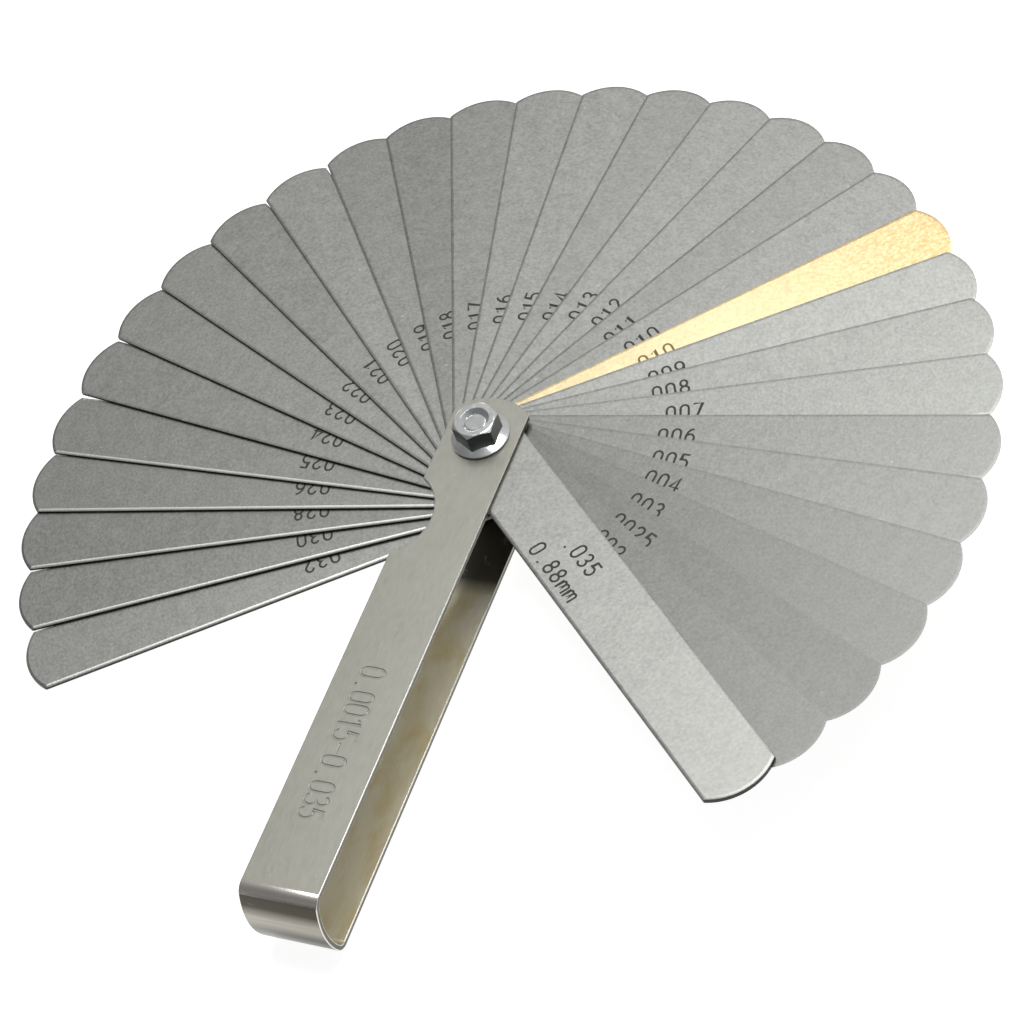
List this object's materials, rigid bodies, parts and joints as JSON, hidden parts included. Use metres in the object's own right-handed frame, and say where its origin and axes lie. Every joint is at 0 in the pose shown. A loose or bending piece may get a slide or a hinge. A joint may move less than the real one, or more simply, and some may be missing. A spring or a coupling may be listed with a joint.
{
  "type": "feeler gauge",
  "caption": "Fanned set of thin round-tipped thickness leaves turning on one nutted pivot in a U-bent strap holder with a finger notch.",
  "frame": {"origin": "on the pivot axis, at the flat end face of the bolt's head", "axes": "+Z along the pivot towards the nut; the holder runs from the pivot along -Y"},
  "size_m": [0.171, 0.1762, 0.0212],
  "materials": {
    "strap_nickel": "satin nickel plate over rolled steel strap",
    "zinc_steel": "bright zinc plate",
    "leaf_steel": "fine rolled spring steel with etched size numbers",
    "leaf_brass": "rolled brass with an etched size number"
  },
  "bodies": {
    "holder_body": {"holder": "strap_nickel", "pivot_bolt": "zinc_steel", "flange_nut": "zinc_steel"},
    "leaf_035_body": {"leaf_035": "leaf_steel"},
    "leaf_0015_body": {"leaf_0015": "leaf_steel"},
    "leaf_002_body": {"leaf_002": "leaf_steel"},
    "leaf_0025_body": {"leaf_0025": "leaf_steel"},
    "leaf_003_body": {"leaf_003": "leaf_steel"},
    "leaf_004_body": {"leaf_004": "leaf_steel"},
    "leaf_005_body": {"leaf_005": "leaf_steel"},
    "leaf_006_body": {"leaf_006": "leaf_steel"},
    "leaf_007_body": {"leaf_007": "leaf_steel"},
    "leaf_008_body": {"leaf_008": "leaf_steel"},
    "leaf_009_body": {"leaf_009": "leaf_steel"},
    "leaf_010_brass_body": {"leaf_010_brass": "leaf_brass"},
    "leaf_010_body": {"leaf_010": "leaf_steel"},
    "leaf_011_body": {"leaf_011": "leaf_steel"},
    "leaf_012_body": {"leaf_012": "leaf_steel"},
    "leaf_013_body": {"leaf_013": "leaf_steel"},
    "leaf_014_body": {"leaf_014": "leaf_steel"},
    "leaf_015_body": {"leaf_015": "leaf_steel"},
    "leaf_016_body": {"leaf_016": "leaf_steel"},
    "leaf_017_body": {"leaf_017": "leaf_steel"},
    "leaf_018_body": {"leaf_018": "leaf_steel"},
    "leaf_019_body": {"leaf_019": "leaf_steel"},
    "leaf_020_body": {"leaf_020": "leaf_steel"},
    "leaf_021_body": {"leaf_021": "leaf_steel"},
    "leaf_022_body": {"leaf_022": "leaf_steel"},
    "leaf_023_body": {"leaf_023": "leaf_steel"},
    "leaf_024_body": {"leaf_024": "leaf_steel"},
    "leaf_025_body": {"leaf_025": "leaf_steel"},
    "leaf_026_body": {"leaf_026": "leaf_steel"},
    "leaf_028_body": {"leaf_028": "leaf_steel"},
    "leaf_030_body": {"leaf_030": "leaf_steel"},
    "leaf_032_body": {"leaf_032": "leaf_steel"}
  },
  "joints": [
    {"name": "leaf_035_turn", "type": "hinge", "parent": "holder_body", "child": "leaf_035_body", "pos_m": [0, 0, 0.0095], "axis": [0, 0, 1], "range_deg": [-48.91, 311.09]},
    {"name": "leaf_0015_turn", "type": "hinge", "parent": "holder_body", "child": "leaf_0015_body", "pos_m": [0, 0, 0.0095], "axis": [0, 0, 1], "range_deg": [-48.91, 311.09]},
    {"name": "leaf_002_turn", "type": "hinge", "parent": "holder_body", "child": "leaf_002_body", "pos_m": [0, 0, 0.0095], "axis": [0, 0, 1], "range_deg": [-55.73, 304.27]},
    {"name": "leaf_0025_turn", "type": "hinge", "parent": "holder_body", "child": "leaf_0025_body", "pos_m": [0, 0, 0.0095], "axis": [0, 0, 1], "range_deg": [-64.05, 295.95]},
    {"name": "leaf_003_turn", "type": "hinge", "parent": "holder_body", "child": "leaf_003_body", "pos_m": [0, 0, 0.0095], "axis": [0, 0, 1], "range_deg": [-72.78, 287.23]},
    {"name": "leaf_004_turn", "type": "hinge", "parent": "holder_body", "child": "leaf_004_body", "pos_m": [0, 0, 0.0095], "axis": [0, 0, 1], "range_deg": [-81.3, 278.7]},
    {"name": "leaf_005_turn", "type": "hinge", "parent": "holder_body", "child": "leaf_005_body", "pos_m": [0, 0, 0.0095], "axis": [0, 0, 1], "range_deg": [-90.03, 269.97]},
    {"name": "leaf_006_turn", "type": "hinge", "parent": "holder_body", "child": "leaf_006_body", "pos_m": [0, 0, 0.0095], "axis": [0, 0, 1], "range_deg": [-98.86, 261.14]},
    {"name": "leaf_007_turn", "type": "hinge", "parent": "holder_body", "child": "leaf_007_body", "pos_m": [0, 0, 0.0095], "axis": [0, 0, 1], "range_deg": [-107.81, 252.19]},
    {"name": "leaf_008_turn", "type": "hinge", "parent": "holder_body", "child": "leaf_008_body", "pos_m": [0, 0, 0.0095], "axis": [0, 0, 1], "range_deg": [-116.45, 243.55]},
    {"name": "leaf_009_turn", "type": "hinge", "parent": "holder_body", "child": "leaf_009_body", "pos_m": [0, 0, 0.0095], "axis": [0, 0, 1], "range_deg": [-124.41, 235.59]},
    {"name": "leaf_010_brass_turn", "type": "hinge", "parent": "holder_body", "child": "leaf_010_brass_body", "pos_m": [0, 0, 0.0095], "axis": [0, 0, 1], "range_deg": [-132.57, 227.43]},
    {"name": "leaf_010_turn", "type": "hinge", "parent": "holder_body", "child": "leaf_010_body", "pos_m": [0, 0, 0.0095], "axis": [0, 0, 1], "range_deg": [-141.15, 218.85]},
    {"name": "leaf_011_turn", "type": "hinge", "parent": "holder_body", "child": "leaf_011_body", "pos_m": [0, 0, 0.0095], "axis": [0, 0, 1], "range_deg": [-149.73, 210.27]},
    {"name": "leaf_012_turn", "type": "hinge", "parent": "holder_body", "child": "leaf_012_body", "pos_m": [0, 0, 0.0095], "axis": [0, 0, 1], "range_deg": [-158.33, 201.67]},
    {"name": "leaf_013_turn", "type": "hinge", "parent": "holder_body", "child": "leaf_013_body", "pos_m": [0, 0, 0.0095], "axis": [0, 0, 1], "range_deg": [-166.93, 193.07]},
    {"name": "leaf_014_turn", "type": "hinge", "parent": "holder_body", "child": "leaf_014_body", "pos_m": [0, 0, 0.0095], "axis": [0, 0, 1], "range_deg": [-175.55, 184.45]},
    {"name": "leaf_015_turn", "type": "hinge", "parent": "holder_body", "child": "leaf_015_body", "pos_m": [0, 0, 0.0095], "axis": [0, 0, 1], "range_deg": [-184.18, 175.82]},
    {"name": "leaf_016_turn", "type": "hinge", "parent": "holder_body", "child": "leaf_016_body", "pos_m": [0, 0, 0.0095], "axis": [0, 0, 1], "range_deg": [-192.82, 167.18]},
    {"name": "leaf_017_turn", "type": "hinge", "parent": "holder_body", "child": "leaf_017_body", "pos_m": [0, 0, 0.0095], "axis": [0, 0, 1], "range_deg": [-201.48, 158.52]},
    {"name": "leaf_018_turn", "type": "hinge", "parent": "holder_body", "child": "leaf_018_body", "pos_m": [0, 0, 0.0095], "axis": [0, 0, 1], "range_deg": [-210.14, 149.86]},
    {"name": "leaf_019_turn", "type": "hinge", "parent": "holder_body", "child": "leaf_019_body", "pos_m": [0, 0, 0.0095], "axis": [0, 0, 1], "range_deg": [-218.32, 141.68]},
    {"name": "leaf_020_turn", "type": "hinge", "parent": "holder_body", "child": "leaf_020_body", "pos_m": [0, 0, 0.0095], "axis": [0, 0, 1], "range_deg": [-227.3, 132.7]},
    {"name": "leaf_021_turn", "type": "hinge", "parent": "holder_body", "child": "leaf_021_body", "pos_m": [0, 0, 0.0095], "axis": [0, 0, 1], "range_deg": [-236.2, 123.8]},
    {"name": "leaf_022_turn", "type": "hinge", "parent": "holder_body", "child": "leaf_022_body", "pos_m": [0, 0, 0.0095], "axis": [0, 0, 1], "range_deg": [-244.9, 115.1]},
    {"name": "leaf_023_turn", "type": "hinge", "parent": "holder_body", "child": "leaf_023_body", "pos_m": [0, 0, 0.0095], "axis": [0, 0, 1], "range_deg": [-253.62, 106.39]},
    {"name": "leaf_024_turn", "type": "hinge", "parent": "holder_body", "child": "leaf_024_body", "pos_m": [0, 0, 0.0095], "axis": [0, 0, 1], "range_deg": [-262.53, 97.47]},
    {"name": "leaf_025_turn", "type": "hinge", "parent": "holder_body", "child": "leaf_025_body", "pos_m": [0, 0, 0.0095], "axis": [0, 0, 1], "range_deg": [-271.56, 88.44]},
    {"name": "leaf_026_turn", "type": "hinge", "parent": "holder_body", "child": "leaf_026_body", "pos_m": [0, 0, 0.0095], "axis": [0, 0, 1], "range_deg": [-280.19, 79.81]},
    {"name": "leaf_028_turn", "type": "hinge", "parent": "holder_body", "child": "leaf_028_body", "pos_m": [0, 0, 0.0095], "axis": [0, 0, 1], "range_deg": [-288.52, 71.47]},
    {"name": "leaf_030_turn", "type": "hinge", "parent": "holder_body", "child": "leaf_030_body", "pos_m": [0, 0, 0.0095], "axis": [0, 0, 1], "range_deg": [-297.26, 62.74]},
    {"name": "leaf_032_turn", "type": "hinge", "parent": "holder_body", "child": "leaf_032_body", "pos_m": [0, 0, 0.0095], "axis": [0, 0, 1], "range_deg": [-306, 54]}
  ]
}
